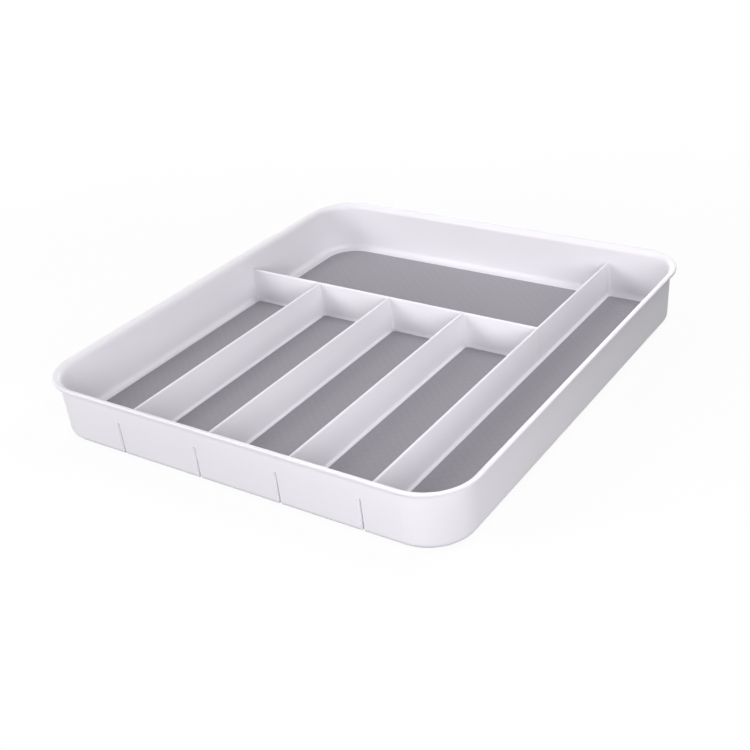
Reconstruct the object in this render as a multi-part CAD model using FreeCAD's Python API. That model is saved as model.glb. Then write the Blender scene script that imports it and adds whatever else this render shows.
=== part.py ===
import FreeCAD
import Part
import math
import os

# Cutlery tray: one moulded plastic tray with a rolled rim and cored dividers, a soft liner stuck
# into the floor of each compartment, and rubber feet stuck into the underside.
# Frame: +X along the front from left to right, +Y from front to back, +Z up.
# The origin is on the table, under the middle of the tray. All sizes are in millimetres.

# Tray shell
tray_width = 352.0
tray_depth = 391.6
tray_height = 46.2
rim_corner_radius = 38.5
wall_thickness = 1.7
floor_thickness = 2.2
draft_angle = 1.8
base_edge_radius = 5.0

# Rolled rim
lip_overhang = 4.3
lip_thickness = 2.8
lip_top_radius = 0.6
lip_under_radius = 1.3
lip_root_radius = 2.2
rim_roll_radius = 5.3
lip_flat = 0.1

# Compartments from the left: four short ones and the long one, which fill the tray from wall to wall
short_1_width = 71.5
short_2_width = 67.6
short_3_width = 66.4
short_4_width = 63.4
long_width = 61.2
short_length = 245.3
divider_height = 28.0
divider_top_width = 2.2
wall_cove_radius = 4.6
divider_fillet_radius = 2.1
upright_corner_blend = 0.2
upright_corner_radius = 0.8

# Hollow cores under the dividers, open through the walls that they run into
core_top_width = 1.0
core_roof = 3.2
core_draft_angle = 1.2
core_mouth_radius = 3.0
notch_flare_angle = 14.0

# Liners, each stuck into a shallow recess
liner_thickness = 0.8
liner_film_thickness = 0.1
liner_recess_depth = 0.7
liner_recess_margin = 0.3
liner_clearance = 0.25
liner_corner_radius = 3.0
wide_liner_left_margin = 3.6
wide_liner_back_margin = 1.5

# Feet, each stuck into a round recess under the floor
foot_diameter = 12.0
foot_stand = 0.5
foot_recess_depth = 0.6
foot_film_thickness = 0.1
foot_clearance = 0.2
foot_edge_radius = 0.3
foot_inset = 27.0

# Heights worked out from the sizes above
base_z = foot_stand
floor_z = base_z + floor_thickness
divider_top_z = floor_z + divider_height
cap_radius = divider_top_width / 2
shoulder_z = divider_top_z - cap_radius
lip_under_z = tray_height - lip_thickness
lip_edge_limit = (lip_thickness - lip_flat) / 2
lip_top_round = min(lip_top_radius, lip_edge_limit)
lip_under_round = min(lip_under_radius, lip_edge_limit)
recess_z = floor_z - liner_recess_depth
film_top_z = recess_z + liner_film_thickness
liner_top_z = film_top_z + liner_thickness

PARTS_FOLDER = "parts"
HEIGHT_TOLERANCE = 1e-4


def slope(height, angle=draft_angle):
    """Sideways run of a drafted face over a height."""
    return height * math.tan(math.radians(angle))


def wall_inset(z):
    """Distance from the rim's outer edge in to the wall's outer face at height z."""
    return lip_overhang + slope(tray_height - z)


class Plan:
    """A rectangle with rounded corners, seen from above.

    Its corner radii run counter-clockwise from the front left one.
    """

    def __init__(self, left, front, right, back, radii):
        self.left = left
        self.front = front
        self.right = right
        self.back = back
        self.radii = radii

    def inset(self, distance):
        """The same outline moved in by a distance, its corners about the same centres."""
        radii = [radius - distance for radius in self.radii]
        return Plan(self.left + distance, self.front + distance,
                    self.right - distance, self.back - distance, radii)

    def wire(self, z):
        """The closed outline at height z, four sides joined by four arcs."""
        corners = [(self.left, self.front, 180), (self.right, self.front, 270),
                   (self.right, self.back, 0), (self.left, self.back, 90)]
        inward = [(1, 1), (-1, 1), (-1, -1), (1, -1)]
        arcs = []
        for (x, y, start), (sx, sy), radius in zip(corners, inward, self.radii):
            centre = FreeCAD.Vector(x + sx * radius, y + sy * radius, z)
            circle = Part.Circle(centre, FreeCAD.Vector(0, 0, 1), radius)
            arcs.append(Part.ArcOfCircle(circle, math.radians(start), math.radians(start + 90)).toShape())
        edges = []
        for arc, following in zip(arcs, arcs[1:] + arcs[:1]):
            edges.append(arc)
            edges.append(Part.makeLine(arc.lastVertex().Point, following.firstVertex().Point))
        return Part.Wire(edges)


def block(lower, lower_z, upper, upper_z):
    """Solid between two outlines, with flat sides and rounded corners."""
    return Part.makeLoft([lower.wire(lower_z), upper.wire(upper_z)], True, True)


def lies_at(shape, z):
    """Whether an edge or a face lies flat at height z."""
    box = shape.BoundBox
    return max(abs(box.ZMin - z), abs(box.ZMax - z)) < HEIGHT_TOLERANCE


def edges_at(shape, z):
    """Edges of a shape that lie flat at height z."""
    return [edge for edge in shape.Edges if lies_at(edge, z)]


def inner_loop(shape, z):
    """Edges round the opening in a shape's flat ring at height z."""
    outlines = [wire for face in shape.Faces if lies_at(face, z) for wire in face.Wires]
    return min(outlines, key=lambda wire: wire.BoundBox.DiagonalLength).Edges


def rim_plan():
    """Outer edge of the rim."""
    return Plan(-tray_width / 2, -tray_depth / 2, tray_width / 2, tray_depth / 2, [rim_corner_radius] * 4)


def outer_plan(z):
    """Outer face of the wall at height z."""
    return rim_plan().inset(wall_inset(z))


def inner_plan(z):
    """Inner face of the wall at height z."""
    return outer_plan(z).inset(wall_thickness)


def outer_shell():
    """Tray as a full block: drafted walls with a rounded base edge, and the lip round the top."""
    walls = block(outer_plan(base_z), base_z, outer_plan(tray_height), tray_height)
    walls = walls.makeFillet(base_edge_radius, edges_at(walls, base_z))
    lip = block(rim_plan(), lip_under_z, rim_plan(), tray_height)
    lip = lip.makeFillet(lip_top_round, edges_at(lip, tray_height))
    lip = lip.makeFillet(lip_under_round, edges_at(lip, lip_under_z))
    shell = walls.fuse(lip).removeSplitter()
    root_round = min(lip_root_radius, lip_overhang - lip_under_round - lip_flat)
    return shell.makeFillet(root_round, inner_loop(shell, lip_under_z))


def open_shell():
    """The block with the space above the dividers cut out and the rim rolled over."""
    shell = outer_shell()
    mouth = block(inner_plan(shoulder_z), shoulder_z, inner_plan(tray_height), tray_height)
    shell = shell.cut(mouth)
    roll = min(rim_roll_radius, lip_overhang + wall_thickness - lip_top_round - lip_flat)
    return shell.makeFillet(roll, inner_loop(shell, tray_height))


def divider_centres():
    """Middle lines of the three short dividers and the long one, from the left, as X values.

    Each compartment takes an even part of what the tray has over, or lacks, beside their widths.
    """
    inside = inner_plan(shoulder_z)
    widths = [short_1_width, short_2_width, short_3_width, short_4_width, long_width]
    taken = sum(widths) + (len(widths) - 1) * divider_top_width
    spare = (inside.right - inside.left - taken) / len(widths)
    x = inside.left
    centres = []
    for width in widths[:-1]:
        x += width + spare + divider_top_width
        centres.append(x - divider_top_width / 2)
    return centres


def cross_centre():
    """Middle line of the cross divider, as a Y value."""
    return inner_plan(shoulder_z).front + short_length + divider_top_width / 2


class Compartment:
    """A compartment's outline at the dividers' shoulders, and which of its sides are the tray's walls.

    Two walls meet in the tray's own large corner, and a divider meets its neighbours in a tight one,
    which opens towards the floor to take the fillet there.
    """

    def __init__(self, left, front, right, back, walls, liner_margins=None):
        self.walls = walls
        self.liner_margins = liner_margins or {}
        large = inner_plan(shoulder_z).radii[0]
        run = slope(shoulder_z - floor_z)
        tight = divider_fillet_radius + upright_corner_blend
        self.at_wall_corner = [{"left", "front"} <= walls, {"right", "front"} <= walls,
                               {"right", "back"} <= walls, {"left", "back"} <= walls]
        top_radii = [large if corner else upright_corner_radius for corner in self.at_wall_corner]
        floor_radii = [large - run if corner else tight for corner in self.at_wall_corner]
        self.top = Plan(left, front, right, back, top_radii)
        self.floor = Plan(left + run, front + run, right - run, back - run, floor_radii)

    def recess(self):
        """Outline of the liner's recess, clear of the fillets round the floor."""
        floor = self.floor
        at_wall = wall_cove_radius + liner_recess_margin
        at_divider = divider_fillet_radius + liner_recess_margin
        gap = {side: (at_wall if side in self.walls else at_divider) + self.liner_margins.get(side, 0)
               for side in ("left", "front", "right", "back")}
        radii = [radius - at_wall if corner else liner_corner_radius
                 for radius, corner in zip(floor.radii, self.at_wall_corner)]
        return Plan(floor.left + gap["left"], floor.front + gap["front"],
                    floor.right - gap["right"], floor.back - gap["back"], radii)

    def liner(self):
        """Outline of the liner, a clearance inside its recess."""
        return self.recess().inset(liner_clearance)


def compartments():
    """Every compartment, by name."""
    inside = inner_plan(shoulder_z)
    half = divider_top_width / 2
    lines = divider_centres()
    cross = cross_centre()
    lefts = [inside.left] + [x + half for x in lines[:-1]]
    rights = [x - half for x in lines]
    found = {}
    for number, (left, right) in enumerate(zip(lefts, rights), start=1):
        walls = {"left", "front"} if number == 1 else {"front"}
        found[f"short_{number}"] = Compartment(left, inside.front, right, cross - half, walls)
    found["long"] = Compartment(lines[-1] + half, inside.front, inside.right, inside.back,
                                {"front", "right", "back"})
    found["wide"] = Compartment(inside.left, cross + half, lines[-1] - half, inside.back,
                                {"left", "back"},
                                {"left": wide_liner_left_margin, "back": wide_liner_back_margin})
    return found


def filleted_block(lower, upper, radius):
    """Space from the floor up to the dividers' shoulders, with a fillet round its floor."""
    space = block(lower, floor_z, upper, shoulder_z)
    return space.makeFillet(radius, edges_at(space, floor_z))


def pockets():
    """Space inside each compartment: a cove along the tray's walls, a small fillet along the dividers."""
    inside = filleted_block(inner_plan(floor_z), inner_plan(shoulder_z), wall_cove_radius)
    return [filleted_block(room.floor, room.top, divider_fillet_radius).common(inside)
            for room in compartments().values()]


def liner_recess(room):
    """Shallow recess in a compartment's floor that takes its liner."""
    outline = room.recess()
    return block(outline, recess_z, outline, floor_z)


def placed(profile, point, direction):
    """A profile drawn in X and Z about a middle line, stood at a point to face along a direction."""
    turn = math.degrees(math.atan2(direction.y, direction.x)) - 90
    profile.rotate(FreeCAD.Vector(0, 0, 0), FreeCAD.Vector(0, 0, 1), turn)
    profile.translate(point)
    return profile


def along(profile, start, end):
    """Solid of a profile carried from one point to another."""
    return Part.Face(placed(profile, start, end - start)).extrude(end - start)


def cap_profile():
    """Half round on top of a divider."""
    left = FreeCAD.Vector(-cap_radius, 0, shoulder_z)
    right = FreeCAD.Vector(cap_radius, 0, shoulder_z)
    top = FreeCAD.Vector(0, 0, divider_top_z)
    return Part.Wire([Part.Arc(left, top, right).toShape(), Part.makeLine(right, left)])


def core_profile(widening=0.0):
    """Hollow under a divider: a narrow wedge with a round roof, flared where it leaves the base."""
    spring_z = divider_top_z - core_roof - core_top_width / 2
    half_top = core_top_width / 2 + widening
    roof_z = spring_z + half_top
    flare_z = base_z + core_mouth_radius
    half_foot = half_top + slope(spring_z - flare_z, core_draft_angle)
    half_mouth = half_foot + core_mouth_radius
    bend = core_mouth_radius * (1 - math.sqrt(0.5))
    right = [(half_top, spring_z), (half_foot, flare_z), (half_foot + bend, base_z + bend),
             (half_mouth, base_z), (half_mouth, 0)]
    spring, foot, flare, mouth, below = [FreeCAD.Vector(x, 0, z) for x, z in right]
    spring_2, foot_2, flare_2, mouth_2, below_2 = [FreeCAD.Vector(-x, 0, z) for x, z in right]
    return Part.Wire([
        Part.Arc(spring_2, FreeCAD.Vector(0, 0, roof_z), spring).toShape(),
        Part.makeLine(spring, foot),
        Part.Arc(foot, flare, mouth).toShape(),
        Part.makeLine(mouth, below),
        Part.makeLine(below, below_2),
        Part.makeLine(below_2, mouth_2),
        Part.Arc(mouth_2, flare_2, foot_2).toShape(),
        Part.makeLine(foot_2, spring_2),
    ])


def divider_lines(plan):
    """Start and end of every divider, each end at a wall taken to an outline of the tray."""
    lines = divider_centres()
    cross = cross_centre()
    backs = [cross for x in lines[:-1]] + [plan.back]
    ends = [(FreeCAD.Vector(x, plan.front, 0), FreeCAD.Vector(x, back, 0)) for x, back in zip(lines, backs)]
    ends.append((FreeCAD.Vector(plan.left, cross, 0), FreeCAD.Vector(lines[-1], cross, 0)))
    return ends


def notch(inner, outer):
    """Flared end of a core in a wall, from the wall's inner face out past its outer one."""
    outward = outer - inner
    narrow = placed(core_profile(), inner, outward)
    wide = placed(core_profile(slope(outward.Length, notch_flare_angle)), outer, outward)
    return Part.makeLoft([narrow, wide], True, True)


def notches():
    """The notch at each place where a divider runs into a wall."""
    found = []
    for near, far in zip(divider_lines(inner_plan(floor_z)), divider_lines(outer_plan(tray_height))):
        found += [notch(inner, outer) for inner, outer in zip(near, far) if (outer - inner).Length > 0]
    return found


def foot_places():
    """Middle of each foot, by place."""
    x = tray_width / 2 - foot_inset
    y = tray_depth / 2 - foot_inset
    places = {}
    for row, row_y in (("front", -y), ("middle", 0), ("back", y)):
        for side, side_x in (("left", -x), ("right", x)):
            places[f"{row}_{side}"] = FreeCAD.Vector(side_x, row_y, 0)
    return places


def disc(place, diameter, low_z, high_z):
    """Upright disc about a place."""
    return Part.makeCylinder(diameter / 2, high_z - low_z, place + FreeCAD.Vector(0, 0, low_z))


def tray_body():
    """The moulded tray with its dividers, their hollow cores and the recesses for liners and feet."""
    body = open_shell()
    body = body.cut(pockets())
    wall_middle = inner_plan(shoulder_z).inset(-wall_thickness / 2)
    body = body.fuse([along(cap_profile(), start, end) for start, end in divider_lines(wall_middle)])
    body = body.removeSplitter()
    cores = [along(core_profile(), start, end) for start, end in divider_lines(inner_plan(floor_z))]
    recesses = [liner_recess(room) for room in compartments().values()]
    sockets = [disc(place, foot_diameter + 2 * foot_clearance, base_z, base_z + foot_recess_depth)
               for place in foot_places().values()]
    return body.cut(cores + notches() + recesses + sockets).removeSplitter()


def liners():
    """A liner for each compartment, and the adhesive film under it."""
    pieces = {}
    for name, room in compartments().items():
        outline = room.liner()
        pieces[f"liner_film_{name}"] = block(outline, recess_z, outline, film_top_z)
        pieces[f"liner_{name}"] = block(outline, film_top_z, outline, liner_top_z)
    return pieces


def feet():
    """Rubber feet, and the adhesive discs that hold them as one group."""
    pieces = {}
    films = []
    seat_z = base_z + foot_recess_depth
    foot_top_z = seat_z - foot_film_thickness
    for name, place in foot_places().items():
        foot = disc(place, foot_diameter, 0, foot_top_z)
        pieces[f"foot_{name}"] = foot.makeFillet(foot_edge_radius, edges_at(foot, 0))
        films.append(disc(place, foot_diameter, foot_top_z, seat_z))
    pieces["foot_films"] = Part.makeCompound(films)
    return pieces


def main():
    """Write every piece of the tray to its own file."""
    os.makedirs(PARTS_FOLDER, exist_ok=True)
    pieces = {"tray_body": tray_body()}
    pieces.update(liners())
    pieces.update(feet())
    for name, shape in pieces.items():
        shape.exportStep(os.path.join(PARTS_FOLDER, f"{name}.step"))
        print(name, "valid", shape.isValid(), "solids", len(shape.Solids), "volume", round(shape.Volume, 1))


main()
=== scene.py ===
"""Cutlery tray: a white moulded tray with soft grey liners in its compartments and rubber feet below."""
import logging
import math
from dataclasses import dataclass, field
from enum import Enum
from typing import Any

import bmesh
import bpy
import numpy as np
from mathutils import Matrix, Vector


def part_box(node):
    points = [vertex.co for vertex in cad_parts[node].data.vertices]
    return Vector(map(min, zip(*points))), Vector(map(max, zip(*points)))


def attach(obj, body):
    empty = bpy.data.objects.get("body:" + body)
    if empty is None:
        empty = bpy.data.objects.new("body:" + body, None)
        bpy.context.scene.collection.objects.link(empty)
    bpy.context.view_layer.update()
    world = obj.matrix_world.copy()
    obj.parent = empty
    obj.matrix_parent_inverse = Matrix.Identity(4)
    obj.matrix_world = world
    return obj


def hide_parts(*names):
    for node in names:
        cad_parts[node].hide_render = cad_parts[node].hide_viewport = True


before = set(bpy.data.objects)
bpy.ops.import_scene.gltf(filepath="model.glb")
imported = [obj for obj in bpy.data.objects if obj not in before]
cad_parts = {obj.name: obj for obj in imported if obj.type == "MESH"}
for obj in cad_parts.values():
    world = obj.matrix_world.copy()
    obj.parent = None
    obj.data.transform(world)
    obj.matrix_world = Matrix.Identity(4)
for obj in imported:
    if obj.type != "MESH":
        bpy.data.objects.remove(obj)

LOG = logging.getLogger("cutlery_tray")
MM = 0.001
BODY = "root"
PHOTO_PIXELS = 750
SENSOR_MM = 36.0
WHITE = (1.0, 1.0, 1.0, 1.0)
WAVE_FACTOR = 20
MERGE_M = 1e-7
TINY = 1e-9

Links = dict[str, tuple[bpy.types.Node, str]]


class Room(Enum):
    """The compartments, by the name that their CAD nodes carry."""

    SHORT_1 = "short_1"
    SHORT_2 = "short_2"
    SHORT_3 = "short_3"
    SHORT_4 = "short_4"
    LONG = "long"
    WIDE = "wide"


class FootPlace(Enum):
    """The places of the feet, by the name that their CAD nodes carry."""

    FRONT_LEFT = "front_left"
    FRONT_RIGHT = "front_right"
    MIDDLE_LEFT = "middle_left"
    MIDDLE_RIGHT = "middle_right"
    BACK_LEFT = "back_left"
    BACK_RIGHT = "back_right"


class Slot(Enum):
    """The material slots."""

    TRAY = "tray_plastic"
    LINER = "liner"
    ADHESIVE = "adhesive"
    FOOT = "foot_rubber"


def linear(colour: str) -> tuple[float, float, float, float]:
    """Turn an sRGB hex colour into linear RGBA.

    Args:
        colour: Six hex digits after a hash sign.

    Returns:
        Linear red, green and blue, and an alpha of 1.
    """
    srgb = np.array([int(colour[i:i + 2], 16) for i in (1, 3, 5)]) / 255
    rgb = np.where(srgb <= 0.04045, srgb / 12.92, ((srgb + 0.055) / 1.055) ** 2.4)
    return (*rgb.tolist(), 1.0)


def socket(sockets: bpy.types.bpy_prop_collection, key: str) -> bpy.types.NodeSocket:
    """Find a socket by its name, or by its number where the name is a number.

    Args:
        sockets: A node's inputs or outputs.
        key: The socket's name, or its number written out.

    Returns:
        The socket.
    """
    return sockets[int(key) if key.isdigit() else key]


def add(tree: bpy.types.NodeTree, kind: str, settings: dict[str, Any] | None = None,
        values: dict[str, Any] | None = None, links: Links | None = None) -> bpy.types.Node:
    """Add a node with its settings, its socket values and its incoming links.

    Args:
        tree: The node tree that takes the node.
        kind: The node's type name.
        settings: Properties of the node itself.
        values: Socket values, by the socket's name.
        links: For each input socket, the node and output socket that feed it.

    Returns:
        The new node.
    """
    node = tree.nodes.new(kind)
    for name, value in (settings or {}).items():
        setattr(node, name, value)
    for name, value in (values or {}).items():
        socket(node.inputs, name).default_value = value
    for name, (source, output) in (links or {}).items():
        tree.links.new(socket(source.outputs, output), socket(node.inputs, name))
    return node


def wave_scale(pitch_mm: float) -> float:
    """Scale of a Wave Texture whose bands repeat at a pitch, on coordinates in metres.

    The node's bands repeat every 2 pi / (20 scale).

    Args:
        pitch_mm: Distance from one band to the next.

    Returns:
        The value for the node's Scale.
    """
    return 2 * math.pi / (WAVE_FACTOR * pitch_mm * MM)


def noise_scale(grain_mm: float) -> float:
    """Scale of a Noise Texture whose lumps are about a grain across, on coordinates in metres.

    Args:
        grain_mm: Size of a grain.

    Returns:
        The value for the node's Scale.
    """
    return 1 / (grain_mm * MM)


def new_material(name: str) -> tuple[bpy.types.Material, bpy.types.NodeTree]:
    """Make an empty node material.

    Args:
        name: The material's name.

    Returns:
        The material and its emptied node tree.
    """
    material = bpy.data.materials.new(name)
    material.use_nodes = True
    material.node_tree.nodes.clear()
    return material, material.node_tree


@dataclass(frozen=True)
class SinkLine:
    """A shallow upright line on a divider's face, opposite another divider that ends at its back.

    Attributes:
        normal_axis: Axis that the marked face looks along, "X" or "Y".
        face_mm: Place of the face on that axis, at half its height.
        line_mm: Place of the line on the other level axis.
    """

    normal_axis: str
    face_mm: float
    line_mm: float


@dataclass(frozen=True)
class MouldedPolypropylene:
    """White polypropylene from a polished, lightly sparked mould.

    It gives the eye a cool white with a satin sheen, a fine grain that softens each highlight, faint
    flow clouds in its tone, and sink lines where the plastic is thick behind a face, dented in the
    relief and darkened in colour as painted shade. The real grain is finer than a pixel, so it is
    drawn coarser here.
    """

    name: str = "moulded polypropylene, satin white"
    colour: str = "#EFEDF1"
    cloud_colour: str = "#EBE9EE"
    # painted shade: a darker tone laid into the sink lines
    sink_shade_colour: str = "#E7E5E9"
    ior: float = 1.49
    roughness_low: float = 0.34
    roughness_high: float = 0.46
    grain_mm: float = 1.5
    cloud_mm: float = 45.0
    grain_height_mm: float = 0.012
    sink_depth_mm: float = 0.02
    sink_half_width_mm: float = 1.3
    cloud_detail: float = 3.0
    grain_detail: float = 2.0
    grain_strength: float = 0.5
    sink_strength: float = 1.0
    sinks: tuple[SinkLine, ...] = (SinkLine("X", 108.7, 57.1), SinkLine("Y", 58.65, -96.9),
                                   SinkLine("Y", 58.65, -27.1), SinkLine("Y", 58.65, 41.6))

    def near(self, tree: bpy.types.NodeTree, axes: bpy.types.Node, axis: str,
             place_mm: float) -> bpy.types.Node:
        """Add a value that is 1 at a place on an axis and falls smoothly to 0 at a sink's half width.

        Args:
            tree: The material's node tree.
            axes: The node that gives the three coordinates apart.
            axis: Name of the axis.
            place_mm: Place on that axis.

        Returns:
            The node whose Result is the value.
        """
        along = add(tree, "ShaderNodeMath", {"operation": "SUBTRACT"}, {"1": place_mm * MM},
                    {"0": (axes, axis)})
        off = add(tree, "ShaderNodeMath", {"operation": "ABSOLUTE"}, links={"0": (along, "Value")})
        return add(tree, "ShaderNodeMapRange", {"interpolation_type": "SMOOTHSTEP"},
                   {"From Max": self.sink_half_width_mm * MM, "To Min": 1.0, "To Max": 0.0},
                   {"Value": (off, "Value")})

    def sink_lines(self, tree: bpy.types.NodeTree, place: bpy.types.Node) -> bpy.types.Node:
        """Add the sink lines, 1 in the middle of a line and 0 away from it.

        Args:
            tree: The material's node tree.
            place: The node that gives Object coordinates.

        Returns:
            The node whose Value holds all the lines.
        """
        axes = add(tree, "ShaderNodeSeparateXYZ", links={"Vector": (place, "Object")})
        total = None
        for sink in self.sinks:
            across = "Y" if sink.normal_axis == "X" else "X"
            face = self.near(tree, axes, sink.normal_axis, sink.face_mm)
            line = self.near(tree, axes, across, sink.line_mm)
            mark = add(tree, "ShaderNodeMath", {"operation": "MULTIPLY"},
                       links={"0": (face, "Result"), "1": (line, "Result")})
            total = mark if total is None else add(tree, "ShaderNodeMath", {"operation": "MAXIMUM"},
                                                   links={"0": (total, "Value"), "1": (mark, "Value")})
        return total

    def material(self) -> bpy.types.Material:
        """Build the material: clouds in tone and sheen, sink lines with painted shade, and the grain on
        top.

        Returns:
            The material.
        """
        material, tree = new_material(self.name)
        place = add(tree, "ShaderNodeTexCoord")
        clouds = add(tree, "ShaderNodeTexNoise",
                     values={"Scale": noise_scale(self.cloud_mm), "Detail": self.cloud_detail},
                     links={"Vector": (place, "Object")})
        grain = add(tree, "ShaderNodeTexNoise",
                    values={"Scale": noise_scale(self.grain_mm), "Detail": self.grain_detail},
                    links={"Vector": (place, "Object")})
        sinks = self.sink_lines(tree, place)
        cloudy = add(tree, "ShaderNodeMix", {"data_type": "RGBA"},
                     {"6": linear(self.colour), "7": linear(self.cloud_colour)},
                     {"Factor": (clouds, "Fac")})
        # painted shade: the sink lines are darkened in colour on top of their dent in the relief
        tone = add(tree, "ShaderNodeMix", {"data_type": "RGBA"}, {"7": linear(self.sink_shade_colour)},
                   {"Factor": (sinks, "Value"), "6": (cloudy, "2")})
        sheen = add(tree, "ShaderNodeMapRange",
                    values={"To Min": self.roughness_low, "To Max": self.roughness_high},
                    links={"Value": (clouds, "Fac")})
        sunk = add(tree, "ShaderNodeBump", {"invert": True},
                   {"Strength": self.sink_strength, "Distance": self.sink_depth_mm * MM},
                   {"Height": (sinks, "Value")})
        bump = add(tree, "ShaderNodeBump",
                   values={"Strength": self.grain_strength, "Distance": self.grain_height_mm * MM},
                   links={"Height": (grain, "Fac"), "Normal": (sunk, "Normal")})
        shader = add(tree, "ShaderNodeBsdfPrincipled", values={"IOR": self.ior},
                     links={"Base Color": (tone, "2"), "Roughness": (sheen, "Result"),
                            "Normal": (bump, "Normal")})
        add(tree, "ShaderNodeOutputMaterial", links={"Surface": (shader, "BSDF")})
        return material


@dataclass(frozen=True)
class EmbossedLiner:
    """Grey soft sheet, rolled with a diamond pattern.

    It gives the eye a flat matt grey, thin pressed lines that cross at a slant, each darkened slightly
    in colour as painted shade, and a fine mottle.
    """

    name: str = "embossed soft liner sheet, grey"
    colour: str = "#9D9AA1"
    # painted shade: a darker tone laid into the pressed lines
    groove_shade_colour: str = "#9B989F"
    mottle_colour: str = "#9F9CA3"
    roughness: float = 0.72
    line_pitch_mm: float = 5.9
    line_angle_deg: float = 48.3
    groove_height_mm: float = 0.003
    groove_strength: float = 0.8
    groove_power: float = 6.0
    mottle_mm: float = 1.2
    mottle_detail: float = 3.0
    mottle_height_mm: float = 0.05
    mottle_strength: float = 0.35
    ior: float = 1.5

    def grooves(self, tree: bpy.types.NodeTree, place: bpy.types.Node) -> bpy.types.Node:
        """Draw the two families of thin lines, 1 in a groove and 0 between.

        Each family is a sine across its own slant, sharpened by a high power, and the larger one holds.

        Args:
            tree: The material's node tree.
            place: The node that gives Object coordinates.

        Returns:
            The node that holds the larger of the two families.
        """
        families = []
        for side in (-1, 1):
            turned = add(tree, "ShaderNodeMapping",
                         values={"Rotation": (0.0, 0.0, side * math.radians(self.line_angle_deg))},
                         links={"Vector": (place, "Object")})
            wave = add(tree, "ShaderNodeTexWave", {"bands_direction": "X"},
                       {"Scale": wave_scale(self.line_pitch_mm)}, {"Vector": (turned, "Vector")})
            families.append(add(tree, "ShaderNodeMath", {"operation": "POWER"}, {"1": self.groove_power},
                                {"0": (wave, "Fac")}))
        return add(tree, "ShaderNodeMath", {"operation": "MAXIMUM"},
                   links={"0": (families[0], "Value"), "1": (families[1], "Value")})

    def material(self) -> bpy.types.Material:
        """Build the material: a mottled ground with the pressed lines over it, darkened with painted
        shade.

        Returns:
            The material.
        """
        material, tree = new_material(self.name)
        place = add(tree, "ShaderNodeTexCoord")
        lines = self.grooves(tree, place)
        mottle = add(tree, "ShaderNodeTexNoise",
                     values={"Scale": noise_scale(self.mottle_mm), "Detail": self.mottle_detail},
                     links={"Vector": (place, "Object")})
        ground = add(tree, "ShaderNodeMix", {"data_type": "RGBA"},
                     {"6": linear(self.colour), "7": linear(self.mottle_colour)},
                     {"Factor": (mottle, "Fac")})
        # painted shade: the pressed lines are darkened in colour on top of their dent in the relief
        tone = add(tree, "ShaderNodeMix", {"data_type": "RGBA"}, {"7": linear(self.groove_shade_colour)},
                   {"Factor": (lines, "Value"), "6": (ground, "2")})
        pressed = add(tree, "ShaderNodeBump", {"invert": True},
                      {"Strength": self.groove_strength, "Distance": self.groove_height_mm * MM},
                      {"Height": (lines, "Value")})
        fine = add(tree, "ShaderNodeBump",
                   values={"Strength": self.mottle_strength, "Distance": self.mottle_height_mm * MM},
                   links={"Height": (mottle, "Fac"), "Normal": (pressed, "Normal")})
        shader = add(tree, "ShaderNodeBsdfPrincipled",
                     values={"Roughness": self.roughness, "IOR": self.ior},
                     links={"Base Color": (tone, "2"), "Normal": (fine, "Normal")})
        add(tree, "ShaderNodeOutputMaterial", links={"Surface": (shader, "BSDF")})
        return material


@dataclass(frozen=True)
class SpeckledFinish:
    """A matt finish with a fine speckle, for rubber and for adhesive film.

    Rubber gives the eye a dull grey with a dusty bloom, and dried adhesive a cloudy pale film.
    """

    name: str
    colour: str
    speck_colour: str
    roughness: float
    speck_mm: float
    height_mm: float
    detail: float = 4.0
    strength: float = 0.5
    ior: float = 1.52

    def material(self) -> bpy.types.Material:
        """Build the material: two tones and a low relief from one noise.

        Returns:
            The material.
        """
        material, tree = new_material(self.name)
        place = add(tree, "ShaderNodeTexCoord")
        specks = add(tree, "ShaderNodeTexNoise",
                     values={"Scale": noise_scale(self.speck_mm), "Detail": self.detail},
                     links={"Vector": (place, "Object")})
        tone = add(tree, "ShaderNodeMix", {"data_type": "RGBA"},
                   {"6": linear(self.colour), "7": linear(self.speck_colour)},
                   {"Factor": (specks, "Fac")})
        bump = add(tree, "ShaderNodeBump",
                   values={"Strength": self.strength, "Distance": self.height_mm * MM},
                   links={"Height": (specks, "Fac")})
        shader = add(tree, "ShaderNodeBsdfPrincipled",
                     values={"Roughness": self.roughness, "IOR": self.ior},
                     links={"Base Color": (tone, "2"), "Normal": (bump, "Normal")})
        add(tree, "ShaderNodeOutputMaterial", links={"Surface": (shader, "BSDF")})
        return material


FOOT_RUBBER = SpeckledFinish("moulded rubber, grey", "#8D8D92", "#7E7E84", 0.78, 0.6, 0.02)
ADHESIVE_FILM = SpeckledFinish("dried adhesive film", "#E4E2DB", "#D8D5CC", 0.55, 2.0, 0.01)


def place_piece(name: str, vertices: np.ndarray, faces: list[list[int]], material: bpy.types.Material) -> bpy.types.Object:
    """Make a piece from a mesh in place, smooth shaded, riding on the tray.

    Args:
        name: The piece's name.
        vertices: Points in metres, in the row frame, one per row.
        faces: Vertex numbers of each face, facing outwards.
        material: The piece's finish.

    Returns:
        The new object.
    """
    mesh = bpy.data.meshes.new(name)
    mesh.from_pydata(vertices.tolist(), [], faces)
    work = bmesh.new()
    work.from_mesh(mesh)
    bmesh.ops.remove_doubles(work, verts=work.verts, dist=MERGE_M)
    work.to_mesh(mesh)
    work.free()
    mesh.shade_smooth()
    mesh.materials.append(material)
    piece = bpy.data.objects.new(name, mesh)
    bpy.context.scene.collection.objects.link(piece)
    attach(piece, BODY)
    LOG.info("%s: %d vertices", name, len(mesh.vertices))
    return piece


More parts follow.
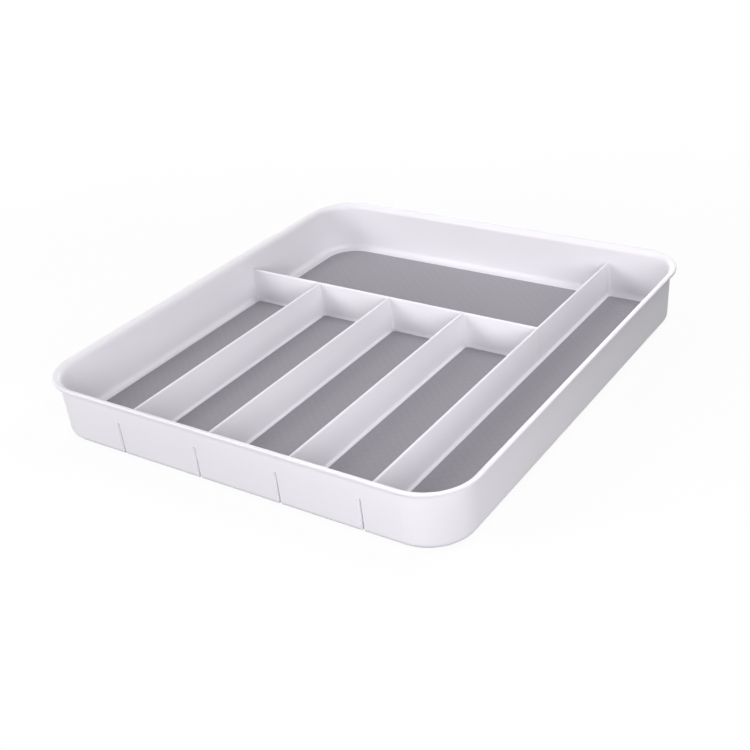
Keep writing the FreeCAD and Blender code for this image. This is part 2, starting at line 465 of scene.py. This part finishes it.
def grid_faces(rows: int, columns: int, wrap: bool = False) -> np.ndarray:
    """Quads of a grid of points that are numbered row by row.

    Args:
        rows: Points along the first parameter.
        columns: Points along the second parameter.
        wrap: Whether the last column joins the first.

    Returns:
        Four vertex numbers per quad, one quad per row.
    """
    steps = columns if wrap else columns - 1
    row, column = np.meshgrid(np.arange(rows - 1), np.arange(steps), indexing="ij")
    after = (column + 1) % columns
    here, right = row * columns + column, row * columns + after
    return np.stack([here, right, right + columns, here + columns], -1).reshape(-1, 4)


@dataclass
class LinerSheet:
    """A die-cut liner that lies in its recess, with a rounded top edge.

    Attributes:
        room: The compartment that it lies in.
        corner_radii_mm: Radii of its corners, counter-clockwise from the front left one.
        edge_radius_mm: Radius of the rounding along its top edge.
        border_mm: Width of the border where the grid is fine.
        fine_step_mm: Grid step inside the border.
        step_mm: Grid step elsewhere.
        edge_points: Grid lines over the rounded edge.
    """

    room: Room
    corner_radii_mm: tuple[float, float, float, float]
    edge_radius_mm: float = 0.22
    border_mm: float = 3.5
    fine_step_mm: float = 0.5
    step_mm: float = 2.5
    edge_points: int = 5

    @property
    def node(self) -> str:
        """Name of the CAD node that the sheet stands for."""
        return f"liner_{self.room.value}"

    def stations(self, length_mm: float) -> np.ndarray:
        """Grid lines over one side: close at both borders, where the edge is rounded, and wider between.

        Args:
            length_mm: Length of the side.

        Returns:
            Distances from one end in millimetres, rising.
        """
        arc = np.radians(np.linspace(0, 90, self.edge_points))
        edge = self.edge_radius_mm * (1 - np.cos(arc))
        border = np.arange(self.fine_step_mm, self.border_mm, self.fine_step_mm)
        near = np.concatenate([edge, border])
        count = int((length_mm - 2 * self.border_mm) / self.step_mm)
        middle = np.linspace(self.border_mm, length_mm - self.border_mm, count)
        return np.concatenate([near, middle, length_mm - near[::-1]])

    def rounded(self, x: np.ndarray, y: np.ndarray, width: float,
                depth: float) -> tuple[np.ndarray, np.ndarray]:
        """Move the points of a rectangle so that its corners become round.

        In the square of a corner, a point at offsets (a, b) from the corner's centre goes to
        (a, b) max(a, b) / hypot(a, b), which turns each square ring into a quarter circle.

        Args:
            x: Distances from the left side in millimetres.
            y: Distances from the front side in millimetres.
            width: Width of the sheet in millimetres.
            depth: Depth of the sheet in millimetres.

        Returns:
            The moved x and y.
        """
        for radius, right, back in zip(self.corner_radii_mm, (0, 1, 1, 0), (0, 0, 1, 1)):
            across = (radius - x) if not right else (x - (width - radius))
            along = (radius - y) if not back else (y - (depth - radius))
            inside = (across > 0) & (along > 0)
            reach = np.maximum(np.hypot(across, along), TINY)
            scale = np.where(inside, np.maximum(across, along) / reach, 1.0)
            moved_x = (radius - across * scale) if not right else (width - radius + across * scale)
            moved_y = (radius - along * scale) if not back else (depth - radius + along * scale)
            x, y = np.where(inside, moved_x, x), np.where(inside, moved_y, y)
        return x, y

    def build(self, material: bpy.types.Material) -> bpy.types.Object:
        """Build the sheet as a grid over its outline, a side wall and a flat back.

        The top drops towards the outline by r (1 - sqrt(1 - (1 - d / r)^2)), where d is the distance
        to the outline and r the edge's radius.

        Args:
            material: The sheet's finish.

        Returns:
            The finished piece.
        """
        low, high = (np.array(corner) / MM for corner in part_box(self.node))
        width, depth = high[0] - low[0], high[1] - low[1]
        x, y = np.meshgrid(self.stations(width), self.stations(depth), indexing="ij")
        inset = np.minimum(np.minimum(x, width - x), np.minimum(y, depth - y))
        short = 1 - np.clip(inset / self.edge_radius_mm, 0, 1)
        z = high[2] - self.edge_radius_mm * (1 - np.sqrt(1 - short ** 2))
        round_x, round_y = self.rounded(x, y, width, depth)
        top = np.stack([round_x + low[0], round_y + low[1], z], -1).reshape(-1, 3)
        rows, columns = x.shape
        number = np.arange(rows * columns).reshape(rows, columns)
        loop = np.concatenate([number[:-1, 0], number[-1, :-1], number[:0:-1, -1], number[0, :0:-1]])
        foot = top[loop].copy()
        foot[:, 2] = low[2]
        ring = np.arange(len(loop)) + len(top)
        side = np.stack([ring, np.roll(ring, -1), np.roll(loop, -1), loop], -1)
        faces = grid_faces(rows, columns)[:, ::-1].tolist() + side.tolist() + [ring[::-1].tolist()]
        points = np.concatenate([top, foot]) * MM
        piece = place_piece(f"{self.node}_sheet", points, faces, material)
        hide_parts(self.node)
        return piece


@dataclass
class RubberFoot:
    """A round foot with two shallow grooves in its tread.

    Attributes:
        place: Where it is under the tray.
        edge_radius_mm: Rounding between tread and side.
        groove_mm: Depth of the tread's grooves.
        groove_shares: Places of the grooves, as shares of the foot's radius.
        groove_half_share: Half the width of a groove, as a share of the foot's radius.
        segments: Points round the foot.
        tread_points: Points over the tread's half section.
        edge_points: Points over the rounding.
    """

    place: FootPlace
    edge_radius_mm: float = 0.3
    groove_mm: float = 0.12
    groove_shares: tuple[float, float] = (1 / 3, 2 / 3)
    groove_half_share: float = 0.08
    segments: int = 72
    tread_points: int = 40
    edge_points: int = 7

    @property
    def node(self) -> str:
        """Name of the CAD node that the foot stands for."""
        return f"foot_{self.place.value}"

    def profile(self, radius: float, height: float) -> np.ndarray:
        """Half section of the foot from the middle of its tread round to the middle of its top.

        The tread is flat, with grooves of a raised cosine at a third and two thirds of its radius, and
        its edge is a quarter circle.

        Args:
            radius: Radius of the foot in millimetres.
            height: Height of the foot in millimetres.

        Returns:
            Distance from the axis and height above the tread, one pair per row.
        """
        flat = np.linspace(0, radius - self.edge_radius_mm, self.tread_points)
        lift = np.zeros_like(flat)
        for share in self.groove_shares:
            off = np.clip(np.abs(flat - share * radius) / (self.groove_half_share * radius), 0, 1)
            lift += self.groove_mm * (1 + np.cos(np.pi * off)) / 2
        arc = np.radians(np.linspace(0, 90, self.edge_points))[1:]
        edge = np.stack([radius - self.edge_radius_mm * (1 - np.sin(arc)),
                         self.edge_radius_mm * (1 - np.cos(arc))], -1)
        top = np.array([[radius, height], [0.0, height]])
        return np.concatenate([np.stack([flat, lift], -1), edge, top])

    def build(self, material: bpy.types.Material) -> bpy.types.Object:
        """Turn the profile about the foot's axis.

        Args:
            material: The foot's finish.

        Returns:
            The finished piece.
        """
        low, high = (np.array(corner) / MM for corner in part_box(self.node))
        centre = (low + high) / 2
        section = self.profile((high[0] - low[0]) / 2, high[2] - low[2])
        turn = np.linspace(0, 2 * np.pi, self.segments, endpoint=False)
        x = centre[0] + section[:, :1] * np.cos(turn)
        y = centre[1] + section[:, :1] * np.sin(turn)
        z = low[2] + np.repeat(section[:, 1:], self.segments, 1)
        points = np.stack([x, y, z], -1).reshape(-1, 3) * MM
        faces = grid_faces(len(section), self.segments, wrap=True)[:, ::-1].tolist()
        piece = place_piece(f"{self.node}_moulding", points, faces, material)
        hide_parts(self.node)
        return piece


@dataclass
class TrayMoulding:
    """The moulded tray itself and the films that hold the liners and the feet.

    Attributes:
        plastic: Finish of the moulding.
        film: Finish of the adhesive.
    """

    plastic: MouldedPolypropylene = field(default_factory=MouldedPolypropylene)
    film: SpeckledFinish = ADHESIVE_FILM

    def dress(self) -> None:
        """Give the moulding and the films their finishes."""
        film = self.film.material()
        self.paint("tray_body", self.plastic.material())
        for room in Room:
            self.paint(f"liner_film_{room.value}", film)
        self.paint("foot_films", film)

    def paint(self, node: str, material: bpy.types.Material) -> None:
        """Put a finish on a CAD node.

        Args:
            node: The node's name.
            material: The finish.
        """
        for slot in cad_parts[node].material_slots:
            slot.material = material
        LOG.info("%s: finished as %s", node, material.name)


@dataclass
class SoftBox:
    """A square studio lamp that faces the tray.

    Attributes:
        name: The lamp's name.
        place_m: Where it hangs.
        aim_m: The point that it faces.
        size_m: Its side.
        watts: Its power.
        colour: Its sRGB colour.
    """

    name: str
    place_m: tuple[float, float, float]
    aim_m: tuple[float, float, float]
    size_m: float
    watts: float
    colour: str = "#FFFFFF"

    def hang(self) -> bpy.types.Object:
        """Hang the lamp, turned to the point that it faces.

        Returns:
            The lamp's object.
        """
        lamp = bpy.data.lights.new(self.name, "AREA")
        lamp.shape = "SQUARE"
        lamp.size = self.size_m
        lamp.energy = self.watts
        lamp.color = linear(self.colour)[:3]
        item = bpy.data.objects.new(self.name, lamp)
        item.location = self.place_m
        towards = Vector(self.aim_m) - Vector(self.place_m)
        item.rotation_euler = towards.to_track_quat("-Z", "Y").to_euler()
        bpy.context.scene.collection.objects.link(item)
        return item


@dataclass
class Studio:
    """The pale floor, the lamps, the white surround and the camera.

    Attributes:
        lamps: The studio's lamps.
        floor_colour: Colour of the floor as the camera sees it.
        bounce_colour: Colour of the floor for the light that it throws back on the tray.
        floor_glow: Share of plain white in the floor near the tray, as the camera sees it.
        fade_from_m: Distance from the middle at which the floor starts to fade into the surround.
        fade_to_m: Distance from the middle at which the floor is as white as the surround.
        floor_half_m: Half the side of the floor.
        clip_m: Nearest and farthest distance that the camera sees.
        focal_pixels: Focal length in pixels of the photograph.
        eye_mm: Place of the camera.
        azimuth_deg: Turn of the camera about the tray, from the front towards the right.
        elevation_deg: Height of the camera's view above the horizon.
        roll_deg: Roll of the camera about its own line of sight.
    """

    lamps: list[SoftBox]
    floor_colour: str = "#F4F4F5"
    bounce_colour: str = "#747476"
    floor_glow: float = 0.92
    fade_from_m: float = 0.34
    fade_to_m: float = 0.72
    floor_half_m: float = 6.0
    clip_m: tuple[float, float] = (0.01, 50.0)
    focal_pixels: float = 1199.4
    eye_mm: tuple[float, float, float] = (475.0, -679.5, 452.4)
    azimuth_deg: float = 35.41
    elevation_deg: float = 28.97
    roll_deg: float = -5.09

    def light_path(self, tree: bpy.types.NodeTree) -> bpy.types.Node:
        """Add a factor that is 1 for camera, glossy and transmission rays.

        Args:
            tree: The node tree that takes the nodes.

        Returns:
            The node whose Value is the factor.
        """
        path = add(tree, "ShaderNodeLightPath")
        seen = add(tree, "ShaderNodeMath", {"operation": "MAXIMUM"},
                   links={"0": (path, "Is Camera Ray"), "1": (path, "Is Glossy Ray")})
        return add(tree, "ShaderNodeMath", {"operation": "MAXIMUM"},
                   links={"0": (seen, "Value"), "1": (path, "Is Transmission Ray")})

    def surround(self) -> None:
        """Make the world plain white to the eye, with no light of its own on the tray."""
        world = bpy.data.worlds.new("white surround")
        world.use_nodes = True
        tree = world.node_tree
        tree.nodes.clear()
        white = add(tree, "ShaderNodeBackground", values={"Color": WHITE},
                    links={"Strength": (self.light_path(tree), "Value")})
        add(tree, "ShaderNodeOutputWorld", links={"Surface": (white, "Background")})
        bpy.context.scene.world = world

    def floor(self) -> None:
        """Lay a wide pale floor under the feet, which keeps the tray's shadow.

        Further out the floor fades into the white surround, so that no edge shows behind the tray.
        """
        material, tree = new_material("matt white studio floor")
        seen = self.light_path(tree)
        tone = add(tree, "ShaderNodeMix", {"data_type": "RGBA"},
                   {"6": linear(self.bounce_colour), "7": linear(self.floor_colour)},
                   {"Factor": (seen, "Value")})
        paint = add(tree, "ShaderNodeBsdfDiffuse", links={"Color": (tone, "2")})
        white = add(tree, "ShaderNodeEmission", values={"Color": WHITE, "Strength": 1.0})
        place = add(tree, "ShaderNodeTexCoord")
        reach = add(tree, "ShaderNodeVectorMath", {"operation": "LENGTH"}, links={"0": (place, "Object")})
        glow = add(tree, "ShaderNodeMapRange", {"interpolation_type": "SMOOTHSTEP"},
                   {"From Min": self.fade_from_m, "From Max": self.fade_to_m, "To Min": self.floor_glow,
                    "To Max": 1.0}, {"Value": (reach, "Value")})
        share = add(tree, "ShaderNodeMath", {"operation": "MULTIPLY"},
                    links={"0": (seen, "Value"), "1": (glow, "Result")})
        mixed = add(tree, "ShaderNodeMixShader", links={"0": (share, "Value"), "1": (paint, "BSDF"),
                                                        "2": (white, "Emission")})
        add(tree, "ShaderNodeOutputMaterial", links={"Surface": (mixed, "Shader")})
        half = self.floor_half_m
        corners = [(-half, -half, 0), (half, -half, 0), (half, half, 0), (-half, half, 0)]
        mesh = bpy.data.meshes.new("studio_floor")
        mesh.from_pydata(corners, [], [(0, 1, 2, 3)])
        mesh.materials.append(material)
        item = bpy.data.objects.new("studio_floor", mesh)
        bpy.context.scene.collection.objects.link(item)

    def camera(self) -> None:
        """Stand the camera where the photograph was taken from."""
        turn, rise, roll = (math.radians(a) for a in (self.azimuth_deg, self.elevation_deg, self.roll_deg))
        back = Vector((math.sin(turn) * math.cos(rise), -math.cos(turn) * math.cos(rise), math.sin(rise)))
        level = (-back).cross(Vector((0, 0, 1))).normalized()
        upright = back.cross(level)
        right = math.cos(roll) * level + math.sin(roll) * upright
        up = math.cos(roll) * upright - math.sin(roll) * level
        lens = bpy.data.cameras.new("photo_camera")
        lens.sensor_width = SENSOR_MM
        lens.lens = self.focal_pixels / PHOTO_PIXELS * SENSOR_MM
        lens.clip_start, lens.clip_end = self.clip_m
        item = bpy.data.objects.new("photo_camera", lens)
        pose = Matrix((right, up, back)).transposed().to_4x4()
        pose.translation = Vector(self.eye_mm) * MM
        item.matrix_world = pose
        bpy.context.scene.collection.objects.link(item)
        bpy.context.scene.camera = item

    def build(self) -> None:
        """Set up the whole studio."""
        bpy.context.scene.view_settings.view_transform = "Standard"
        self.surround()
        self.floor()
        for lamp in self.lamps:
            lamp.hang()
        self.camera()


@dataclass
class CutleryTray:
    """The whole object: moulding, liners and feet.

    Attributes:
        tight_mm: Radius of a liner's corner beside a divider.
        large_mm: Radius of a liner's corner in a corner of the tray.
        moulding: The tray with its films.
        liner: Finish of the liners.
    """

    tight_mm: float = 2.75
    large_mm: float = 25.98
    moulding: TrayMoulding = field(default_factory=TrayMoulding)
    liner: EmbossedLiner = field(default_factory=EmbossedLiner)

    def corners(self, room: Room) -> tuple[float, float, float, float]:
        """Radii of a liner's corners, counter-clockwise from the front left one.

        Args:
            room: The compartment that the liner lies in.

        Returns:
            Four radii in millimetres.
        """
        tight, large = self.tight_mm, self.large_mm
        special = {Room.SHORT_1: (large, tight, tight, tight), Room.LONG: (tight, large, large, tight),
                   Room.WIDE: (tight, tight, tight, large)}
        return special.get(room, (tight, tight, tight, tight))

    def build(self) -> None:
        """Dress the moulding and build the liners and the feet."""
        self.moulding.dress()
        sheet = self.liner.material()
        for room in Room:
            LinerSheet(room, self.corners(room)).build(sheet)
        rubber = FOOT_RUBBER.material()
        for place in FootPlace:
            RubberFoot(place).build(rubber)


def lamps() -> list[SoftBox]:
    """List the studio's lamps.

    Soft boxes stand at the front left, front right and back, two hang high at the sides, and a low one
    at the back left lights the outer walls.

    Returns:
        The lamps, not hung yet.
    """
    middle = (0.0, 0.0, 0.02)
    return [
        SoftBox("front_left_softbox", (-0.64, -0.89, 0.49), middle, 0.55, 8.3, "#FEFEFF"),
        SoftBox("front_right_softbox", (0.60, -0.60, 0.31), middle, 0.35, 4.7, "#FDFCFF"),
        SoftBox("high_left_softbox", (-0.58, 0.16, 1.04), middle, 0.5, 3.6),
        SoftBox("high_right_softbox", (0.40, 0.30, 0.80), middle, 0.4, 2.8),
        SoftBox("back_softbox", (0.0, 0.92, 0.77), middle, 0.6, 1.8),
        SoftBox("low_back_softbox", (-0.45, 0.80, 0.20), middle, 0.4, 2.1),
    ]


def main() -> None:
    """Build the tray and its studio, and report each piece."""
    logging.basicConfig(level=logging.INFO, format="%(name)s %(message)s")
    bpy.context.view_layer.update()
    CutleryTray().build()
    Studio(lamps()).build()
    bpy.context.view_layer.update()


if __name__ == "__main__":
    main()
